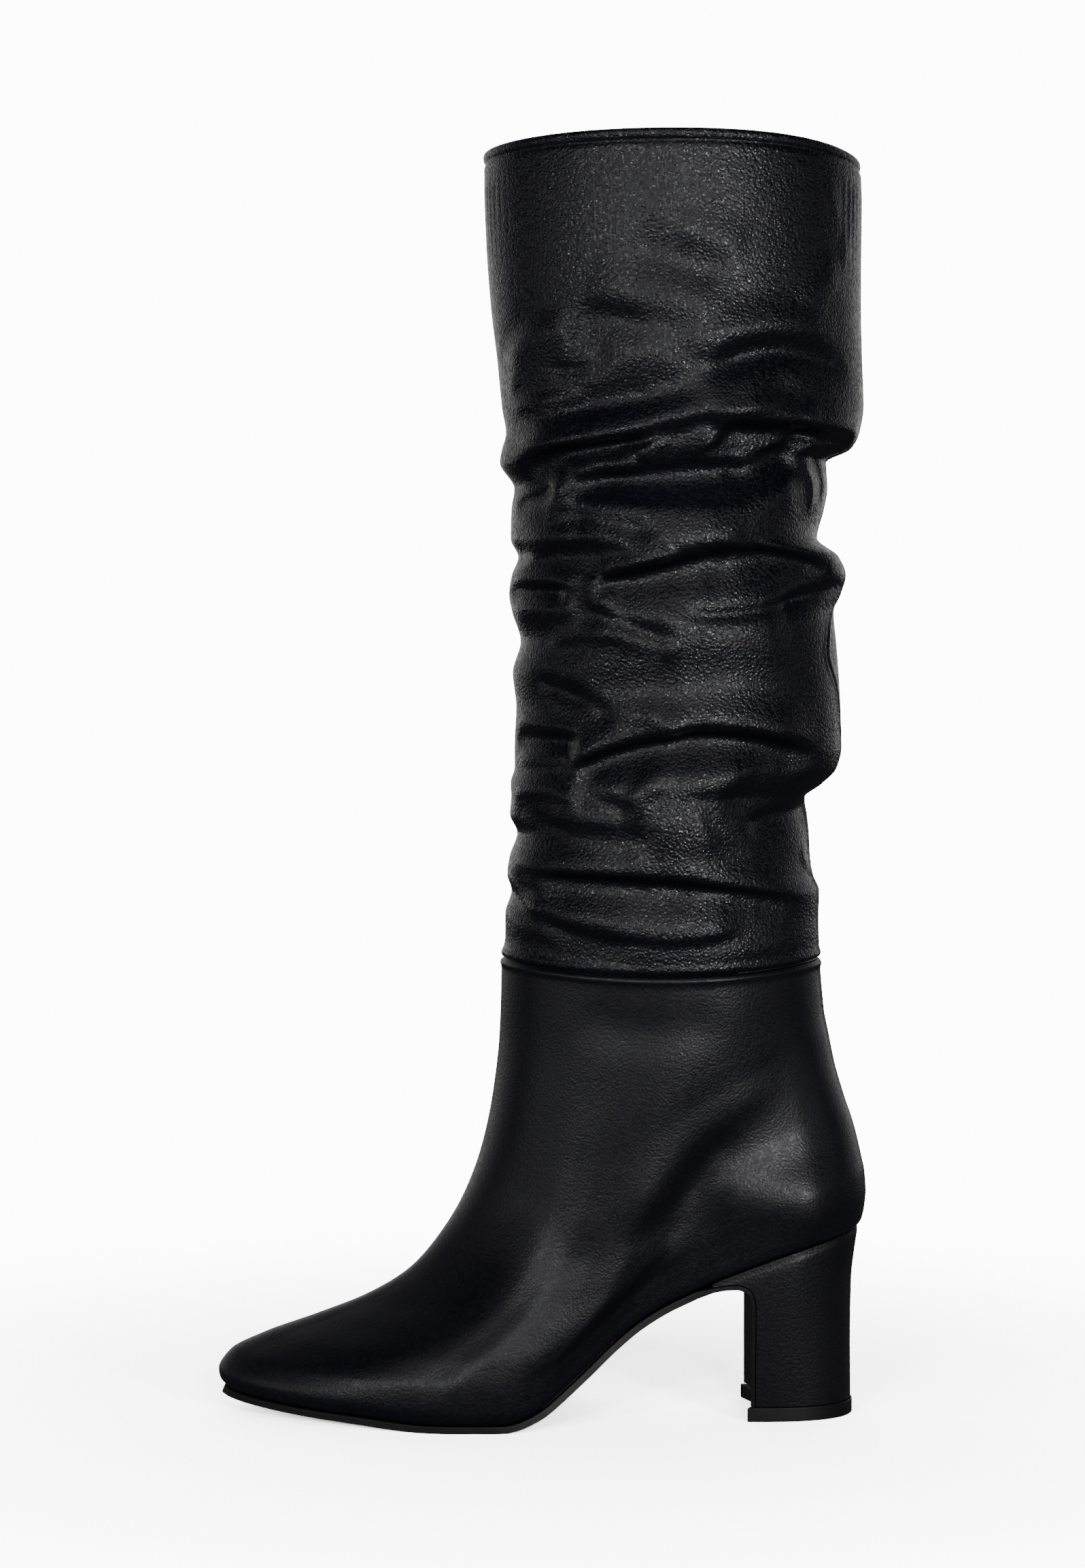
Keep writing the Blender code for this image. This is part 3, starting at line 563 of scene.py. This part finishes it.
def shaft_rings(heights, steps, turns):
    """Rings of the shaft with its folds, the outward steps given for each ring."""
    front, back, half = [curve(heights)[:, None] for curve in shaft_curves]
    share = (1 - np.cos(turns)) / 2
    sine = np.sin(turns)
    near_ankle = np.clip(1 - (heights - ANKLE_HEIGHT) / ANKLE_FADE, 0, 1)[:, None]
    near_collar = np.clip(1 - (COLLAR_HEIGHT - heights) / COLLAR_FADE, 0, 1)[:, None]
    grid_turns = np.broadcast_to(np.degrees(turns), (len(heights), len(turns)))
    grid_heights = np.broadcast_to(heights[:, None], grid_turns.shape)
    depth = fold_relief(grid_turns, grid_heights, every_fold, math.radians(1) * SHAFT_RADIUS)
    depth = FOLD_SIZE * depth * (1 - near_ankle ** 3) * (1 - near_collar ** 6)
    step = steps[:, None]
    x = front + share * (back - front) - step * np.cos(turns)
    reach = np.clip(np.abs(sine) / 0.3, 0, 1)
    x = x - FOLD_PUSH * depth * np.cos(turns) * np.abs(sine)
    y = -sine * (half + step) - np.sign(sine) * depth * reach * (2 - reach)
    z = heights[:, None] - near_ankle * ANKLE_DIP * sine ** 2
    z = z - near_collar * (COLLAR_BACK_DIP * share ** 7 + COLLAR_FRONT_DIP * (1 - share) ** 6)
    z = z - FOLD_DROOP * depth * np.abs(sine)
    return np.stack((np.broadcast_to(x, depth.shape), y, z), axis=-1)


# Rings lie close at the seam, 1.05 mm apart through the folds and 3 mm apart on the smooth panel.
seam_edge = ANKLE_HEIGHT + 0.5
heights = np.concatenate((seam_edge + np.array((0, 0.1, 0.3, 0.6, 1.0, 1.5, 2.1, 2.8, 3.6)),
                          np.arange(seam_edge + 4.5, 398, 1.05), np.arange(400, 469, 3.0)))
shaft_grid = shaft_rings(heights, np.zeros(len(heights)), turns)
shaft_normals = outward_normals(shaft_grid)
above_seam = (heights - seam_edge)[:, None]
roll = 1 - np.clip(above_seam / SEAM_ROUND, 0, 1)
back_seam = smooth(column(SHAFT_BACK_SEAM, 0), column(SHAFT_BACK_SEAM, 1))(heights)[:, None]
relief = SEAM_SWELL * np.exp(-((above_seam - SWELL_AWAY) / SHAFT_SWELL_SPREAD) ** 2)
relief = relief - SEAM_ROUND * (1 - np.sqrt(1 - roll ** 2))
relief = relief + seam_groove(turns[None, :], back_seam) * np.clip(above_seam / 2, 0, 1)
angle = np.degrees(turns)[None, :]
near_edges = sum(share * np.exp(-((angle - place) / spread) ** 2)
                 for place, spread, share in PUCKER_PLACES)
fade = np.clip((heights[:, None] - PUCKER_START) / PUCKER_GROWTH, 0, 1)
relief = relief + PUCKER_DEPTH * fade * near_edges * np.sin(angle * 2 * math.pi / PUCKER_PITCH)
shaft_points = shaft_grid + shaft_normals * relief[..., None]
roll_heights = COLLAR_HEIGHT - np.array(column(COLLAR_ROLL, 0))
collar_points = shaft_rings(roll_heights, np.array(column(COLLAR_ROLL, 1)), turns)
inside_hem = shaft_points[0] - shaft_normals[0] * 0.8
shaft_mesh = skin([inside_hem, *shaft_points, *collar_points])
finish_piece("shaft_leather", shaft_mesh, shaft_leather, "shaft")


# Lining: beige pigskin, glued to the back of the leather from the collar's facing down to the
# insole. It shows only inside the boot.
LINING_DEPTH = 1.7
FACING_HEIGHT = 13.0


def lining_leather(name):
    """Undyed pigskin lining, matt, with sparse pores."""
    material = bpy.data.materials.new(name)
    material.use_nodes = True
    tree = material.node_tree
    shader = tree.nodes["Principled BSDF"]
    place = add_node(tree, "ShaderNodeTexCoord", {}).outputs["Object"]
    clouds = add_node(tree, "ShaderNodeTexNoise", {"Vector": place, "Scale": 40, "Detail": 5})
    tint = add_node(tree, "ShaderNodeMix",
                    {0: clouds.outputs[0], 6: colour("a08b74"), 7: colour("b39e86")},
                    data_type="RGBA")
    pores = add_node(tree, "ShaderNodeTexVoronoi", {"Vector": place, "Scale": 1 / (1.4 * MM)})
    pits = add_node(tree, "ShaderNodeBump",
                    {"Height": pores.outputs["Distance"], "Strength": 0.4, "Distance": 0.15 * MM})
    tree.links.new(tint.outputs[2], shader.inputs["Base Color"])
    tree.links.new(pits.outputs[0], shader.inputs["Normal"])
    shader.inputs["Roughness"].default_value = 0.72
    shader.inputs["IOR"].default_value = 1.45
    return material


pigskin = lining_leather("beige pigskin lining")
lining_turns = np.linspace(0, 2 * math.pi, 96, endpoint=False)
lining_heights = np.linspace(ANKLE_HEIGHT + 0.4, COLLAR_HEIGHT - FACING_HEIGHT, 110)
lining_grid = shaft_rings(lining_heights, np.zeros(len(lining_heights)), lining_turns)
lining_points = lining_grid - outward_normals(lining_grid) * LINING_DEPTH
foot_lining_grid = egg_rings(np.linspace(0.004, 1, 70), lining_turns)
foot_lining_points = foot_lining_grid - outward_normals(foot_lining_grid) * LINING_DEPTH
lining_mesh = skin([*foot_lining_points, *lining_points])
finish_piece("boot_lining", lining_mesh, pigskin, None, outward=False)


# Outsole: a thin black rubber-finished leather sole, cemented under the foot. At the heel it is
# turned down as a flap that covers the hollow front of the heel.
SOLE_THICKNESS = 2.8
FLAP_THICKNESS = 1.8
SHANK_END = 58.0
SOLE_INSET = 0.9
SOLE_TIP_TURN = 0.16
SOLE_TIP_HALF_WIDTH = 3.0
HEEL_INSET = 0.8
HEEL_HALF_WIDTH = 23.0
TOP_LIFT_THICKNESS = 5.5
# Heel sections from the top lift to the seat: x and height of the front, bow of the front, x
# and height of the back
HEEL_SECTIONS = (
    (80.6, 5.8, 5.5, 118.6, 5.8), (80.6, 25, 5.5, 118.4, 30), (80.6, 44, 5.5, 118.8, 52),
    (79.4, 49.2, 5, 119.6, 60), (77.2, 51.5, 4, 120.3, 65), (73.8, 52.7, 2.5, 120.8, 68.3),
    (69.8, 52.6, 1.5, 121, 69.9), (64.4, 51.7, 1, 121, 71),
)


def sole_rubber(name):
    """Smooth black sole finish, matt, with a faint fine tooth."""
    material = bpy.data.materials.new(name)
    material.use_nodes = True
    tree = material.node_tree
    shader = tree.nodes["Principled BSDF"]
    place = add_node(tree, "ShaderNodeTexCoord", {}).outputs["Object"]
    tooth = add_node(tree, "ShaderNodeTexNoise", {"Vector": place, "Scale": 900, "Detail": 3})
    scuff = add_node(tree, "ShaderNodeTexNoise", {"Vector": place, "Scale": 60, "Detail": 6})
    tint = add_node(tree, "ShaderNodeMix",
                    {0: scuff.outputs[0], 6: colour("0d0d0f"), 7: colour("161618")},
                    data_type="RGBA")
    fine = add_node(tree, "ShaderNodeBump",
                    {"Height": tooth.outputs[0], "Strength": 0.35, "Distance": 0.08 * MM})
    tree.links.new(tint.outputs[2], shader.inputs["Base Color"])
    tree.links.new(fine.outputs[0], shader.inputs["Normal"])
    shader.inputs["Roughness"].default_value = 0.5
    shader.inputs["IOR"].default_value = 1.5
    return material


def along(points, count):
    """Evenly spread rows of a table of columns, on smooth curves through its rows."""
    table = np.array(points, float)
    steps = np.linalg.norm(np.diff(table[:, :2], axis=0), axis=1)
    length = np.concatenate(((0,), np.cumsum(steps)))
    places = np.linspace(0, length[-1], count)
    return np.stack([smooth(length, table[:, i])(places) for i in range(table.shape[1])], axis=1)


def side_normals(path):
    """Unit normals of a side-view path that runs towards the heel, pointing upward."""
    direction = np.gradient(np.array(path, float), axis=0)
    direction /= np.linalg.norm(direction, axis=1, keepdims=True)
    return np.stack((-direction[:, 1], direction[:, 0]), axis=1)


def ribbon(path, normals, thick, widths, bows, across):
    """Rings across a strip of leather: upper face from side to side, then the lower face."""
    rings = []
    shares = np.linspace(-1, 1, across + 1)
    for place, normal, depth, (outer, inner), bow in zip(path, normals, thick, widths, bows):
        ring = []
        for level, order in ((0.0, shares), (-depth, shares[::-1])):
            x, z = np.array(place) + level * np.array(normal)
            for share in order:
                y = share * (outer if share < 0 else inner)
                ring.append((x + bow * (1 - share * share), y, z))
        rings.append(ring)
    return rings


def round_edges(piece, width_mm, segments):
    """A live Bevel on the piece's sharp edges."""
    bevel = piece.modifiers.new("rounded edges", "BEVEL")
    bevel.width = width_mm * MM
    bevel.segments = segments
    bevel.limit_method = "ANGLE"
    bevel.angle_limit = math.radians(35)
    bevel.harden_normals = True


def heel_share(height):
    """How far a place on the heel is from the top lift (0) to the seat (1)."""
    return (height - TOP_LIFT_THICKNESS) / (HEEL_SECTIONS[-1][1] - TOP_LIFT_THICKNESS)


sole_finish = sole_rubber("black sole rubber")
sole_turns = np.linspace(SOLE_TIP_TURN, turn_at(SHANK_END), 90)
sole_x = TOE_X + (1 - np.cos(sole_turns)) / 2 * FOOT_LENGTH
sole_path = [(x, float(bottom_height(x))) for x in sole_x]
sole_widths = [[max(float(half_width(x, side)) - SOLE_INSET, SOLE_TIP_HALF_WIDTH)
                for side in (-1, 1)] for x in sole_x]
sole_bows = [0.0] * len(sole_path)
sole_depths = [SOLE_THICKNESS] * len(sole_path)
flap = along([row[:3] for row in reversed(HEEL_SECTIONS)], 60)
for x, z, bow in flap:
    foot_half = [float(half_width(x, side)) - HEEL_INSET for side in (-1, 1)]
    share = heel_share(z)
    sole_path.append((x, z))
    sole_widths.append([HEEL_HALF_WIDTH + share * (half - HEEL_HALF_WIDTH) for half in foot_half])
    sole_bows.append(bow)
    sole_depths.append(FLAP_THICKNESS)
sole_normals = side_normals(sole_path)
tread = [i for i, place in enumerate(sole_path) if place[1] <= SOLE_THICKNESS]
sole_normals[tread] = (0.0, 1.0)
sole_rings = ribbon(sole_path, sole_normals, sole_depths, sole_widths, sole_bows, 14)
sole_mesh = skin(sole_rings, capped=True)
outsole = finish_piece("outsole_strip", sole_mesh, sole_finish, "outsole",
                       outward=None, sharp=35)
round_edges(outsole, 0.45, 2)


# Heel: a moulded block covered in the upper's leather, glued and nailed under the seat. Its top
# lift is a flat plate of hard rubber.
TOP_LIFT_FRONT = 77.6
TOP_LIFT_BACK = 119.2
TOP_LIFT_HALF_WIDTH = 23.4
BREAST_BOW = 5.5
GAP = 0.3
HEEL_ACROSS = 16
HEEL_SIDES = 30


def block_half(front, back, half):
    """Half width of a D shape: straight sides behind a flat front, and a round back."""

    def half_at(x, side):
        reach = max(0.0, (x - front) / (back - front))
        return half * math.sqrt(max(0.0, 1 - reach ** 3))

    return half_at


def heel_half(front, back, share):
    """Half width of a heel section, between the D of the top lift and the foot's outline."""
    block = block_half(front, back, HEEL_HALF_WIDTH)

    def half_at(x, side):
        reach = (x - front) / (back - front)
        foot_x = front + reach * (HEEL_X - front)
        foot = max(float(half_width(foot_x, side)) - HEEL_INSET * (1 - reach ** 8), 0.0)
        return block(x, side) + share * (foot - block(x, side))

    return half_at


def heel_ring(front, back, bow, half_at, height_at):
    """Places a heel section: the bowed front from side to side, then round the back."""
    points = []
    for share in np.linspace(1, -1, HEEL_ACROSS + 1):
        y = share * half_at(front, 1 if share > 0 else -1)
        points.append((front + bow * (1 - share * share), y, height_at(front)))
    reach = np.arange(1, HEEL_SIDES) * math.pi / 2 / HEEL_SIDES
    outer = [(-1, turn) for turn in reach]
    inner = [(1, turn) for turn in reach[::-1]]
    for side, turn in outer + [(-1, math.pi / 2)] + inner:
        x = front + (back - front) * math.sin(turn)
        points.append((x, side * half_at(x, side), height_at(x)))
    return points


heel_leather = nappa_leather("black nappa leather, heel cover", base="101018", worn="171721",
                             grain_mm=1.0, grain_depth_mm=0.12, roughness=0.42, glint_spread=0.04)
heel_rows = along(HEEL_SECTIONS, 46)
heel_clear = side_normals(heel_rows[::-1, :2])[::-1] * GAP
heel_rings = []
for (front, low, bow, back, high), clear in zip(heel_rows, heel_clear):
    share = heel_share(low)
    front += float(clear[0])
    low += float(clear[1])
    slope = (high - low) / (back - front)
    half_at = heel_half(front, back, share)
    heel_rings.append(heel_ring(front, back, bow, half_at,
                                lambda x: low + slope * max(0.0, x - front)))
seat_back = HEEL_X - HEEL_INSET
seat_half = heel_half(front, seat_back, 1.0)
heel_rings.append(heel_ring(front, seat_back, bow, seat_half, lambda x: float(bottom_height(x))))
heel_mesh = skin(heel_rings, capped=True)
bmesh.ops.triangulate(heel_mesh, faces=[face for face in heel_mesh.faces if len(face.verts) > 4])
heel = finish_piece("heel_cover", heel_mesh, heel_leather, "heel",
                    outward=None, sharp=35)
round_edges(heel, 0.5, 2)

lift_half = block_half(TOP_LIFT_FRONT, TOP_LIFT_BACK, TOP_LIFT_HALF_WIDTH)
lift_rings = []
for level in (0.0, TOP_LIFT_THICKNESS):
    lift_rings.append(heel_ring(TOP_LIFT_FRONT, TOP_LIFT_BACK, BREAST_BOW, lift_half,
                                lambda x: level))
lift_mesh = skin(lift_rings, capped=True)
lift_rubber = sole_rubber("black hard rubber, top lift")
top_lift = finish_piece("top_lift_plate", lift_mesh, lift_rubber, "top_lift",
                        outward=None, sharp=35)
round_edges(top_lift, 0.5, 3)


# Insole: a board covered with a sock of the lining's pigskin, laid on the sole inside the upper.
INSOLE_INSET = 2.7
INSOLE_THICKNESS = 1.8
SOCK_END_TURN = 0.3
SOCK_SHARE = 0.978
SOCK_RINGS = 80
sock_turns = np.linspace(SOCK_END_TURN, math.pi - SOCK_END_TURN, SOCK_RINGS)
sock_x = TOE_X + (1 - np.cos(sock_turns)) / 2 * FOOT_LENGTH
sock_path = [(x, float(bottom_height(x)) + GAP + INSOLE_THICKNESS) for x in sock_x * SOCK_SHARE]
sock_widths = [[float(half_width(x, side)) - INSOLE_INSET for side in (-1, 1)] for x in sock_x]
level_normals = np.tile((0.0, 1.0), (len(sock_path), 1))
sock_depths = [INSOLE_THICKNESS] * SOCK_RINGS
sock_rings = ribbon(sock_path, level_normals, sock_depths, sock_widths, [0.0] * SOCK_RINGS, 12)
sock = finish_piece("insole_sock", skin(sock_rings, capped=True), pigskin, "insole",
                    outward=None, sharp=35)
round_edges(sock, 0.5, 2)


# Studio: a plain white table under a white surround, and a camera with a long lens at the height
# of the boot's middle. A wide low soft box and three small ones stand in front, one lights the
# counter, one hangs above and one stands at each side.
CAMERA_DISTANCE = 1.35
CAMERA_HEIGHT = 0.2805
CAMERA_DOWN = 1.7
LENS_MM = 81.15
SENSOR_MM = 36.0
# Table: brightness that the camera sees near the boot, grey that the leather mirrors, and the
# distances in metres between which it fades to the surround's plain white
FLOOR_SEEN = 30.0
FLOOR_GREY = 0.2
FLOOR_NEAR = 0.12
FLOOR_FAR = 0.5
WHITE_SEEN = 13.0
# Surround: strength in front of the boot and behind it
SKY_FRONT = 0.02
SKY_BEHIND = 0.9
# Soft boxes, in metres: name, place, aim, width and height, power in watts
SOFT_BOXES = (
    ("front_soft_box", (0.02, -1.6, 0.43), (0.03, 0, 0.27), (4.2, 0.30), 2.1),
    ("small_soft_box_0", (-1.25, -1.6, 0.55), (0.03, 0, 0.35), (0.2, 0.12), 2.4),
    ("small_soft_box_1", (-0.5, -1.6, 0.55), (0.03, 0, 0.35), (0.2, 0.12), 2.4),
    ("small_soft_box_2", (0.25, -1.6, 0.55), (0.03, 0, 0.35), (0.2, 0.12), 2.4),
    ("upper_soft_box", (0.0, -1.2, 1.15), (0.03, 0, 0.27), (1.8, 0.35), 1.8),
    ("counter_soft_box", (0.9, -1.6, 0.32), (0.087, 0, 0.1), (0.24, 0.15), 6.5),
    ("left_soft_box", (-2.0, -0.9, 0.30), (0.0, 0, 0.28), (1.1, 0.8), 2.0),
    ("right_soft_box", (2.0, -0.9, 0.30), (0.1, 0, 0.28), (1.1, 0.8), 1.0),
)


def white_paint(name):
    """Matt white paint. The camera sees it overexposed, and far from the boot as plain white."""
    material = bpy.data.materials.new(name)
    material.use_nodes = True
    tree = material.node_tree
    tree.nodes.clear()
    seen = add_node(tree, "ShaderNodeLightPath", {}).outputs["Is Camera Ray"]
    place = add_node(tree, "ShaderNodeTexCoord", {}).outputs["Object"]
    away = add_node(tree, "ShaderNodeVectorMath", {0: place}, operation="LENGTH").outputs["Value"]
    far = add_node(tree, "ShaderNodeMapRange", {0: away, 1: FLOOR_NEAR, 2: FLOOR_FAR},
                   interpolation_type="SMOOTHSTEP")
    matt = add_node(tree, "ShaderNodeBsdfDiffuse", {"Color": (*[FLOOR_GREY] * 3, 1)})
    bright = add_node(tree, "ShaderNodeBsdfDiffuse", {"Color": (*[FLOOR_SEEN] * 3, 1)})
    glow = add_node(tree, "ShaderNodeEmission", {"Strength": WHITE_SEEN})
    spread = add_node(tree, "ShaderNodeMixShader",
                      {0: far.outputs[0], 1: bright.outputs[0], 2: glow.outputs[0]})
    both = add_node(tree, "ShaderNodeMixShader",
                    {0: seen, 1: matt.outputs[0], 2: spread.outputs[0]})
    add_node(tree, "ShaderNodeOutputMaterial", {"Surface": both.outputs[0]})
    return material


table_mesh = bmesh.new()
bmesh.ops.create_circle(table_mesh, cap_ends=True, segments=64, radius=3)
table_data = bpy.data.meshes.new("white_table")
table_mesh.to_mesh(table_data)
table_mesh.free()
table_data.materials.append(white_paint("matt white table paint"))
table = bpy.data.objects.new("white_table", table_data)
bpy.context.scene.collection.objects.link(table)

camera_data = bpy.data.cameras.new("camera")
camera_data.sensor_fit = "VERTICAL"
camera_data.sensor_height = SENSOR_MM
camera_data.lens = LENS_MM
camera_data.clip_end = 50
camera = bpy.data.objects.new("camera", camera_data)
camera.location = (0.0004, -CAMERA_DISTANCE, CAMERA_HEIGHT)
camera.rotation_euler = (math.radians(90 - CAMERA_DOWN), 0, 0)
bpy.context.scene.collection.objects.link(camera)
bpy.context.scene.camera = camera


def soft_box(name, place, aim, size, power):
    """A rectangular area light at a place, turned to its aim."""
    lamp = bpy.data.lights.new(name, "AREA")
    lamp.shape = "RECTANGLE"
    lamp.size, lamp.size_y = size
    lamp.energy = power
    box = bpy.data.objects.new(name, lamp)
    box.location = place
    box.rotation_euler = (Vector(aim) - Vector(place)).to_track_quat("-Z", "Y").to_euler()
    bpy.context.scene.collection.objects.link(box)


for name, place, aim, size, power in SOFT_BOXES:
    soft_box(name, place, aim, size, power)

surround = bpy.data.worlds.new("white surround")
surround.use_nodes = True
sky = surround.node_tree
where = add_node(sky, "ShaderNodeTexCoord", {}).outputs["Generated"]
parts = add_node(sky, "ShaderNodeSeparateXYZ", {0: where})
behind = add_node(sky, "ShaderNodeMapRange",
                  {0: parts.outputs[1], 1: 0.1, 2: 0.9, 3: SKY_FRONT, 4: SKY_BEHIND})
above = add_node(sky, "ShaderNodeMapRange", {0: parts.outputs[2], 1: 0.1, 2: 0.6, 3: 1.0, 4: 0.35})
lit = add_node(sky, "ShaderNodeMath", {0: behind.outputs[0], 1: above.outputs[0]},
               operation="MULTIPLY")
seen = add_node(sky, "ShaderNodeLightPath", {}).outputs["Is Camera Ray"]
level = add_node(sky, "ShaderNodeMix", {0: seen, 2: lit.outputs[0], 3: WHITE_SEEN})
sky.links.new(level.outputs[0], sky.nodes["Background"].inputs["Strength"])
sky.nodes["Background"].inputs["Color"].default_value = (1, 1, 1, 1)
bpy.context.scene.world = surround
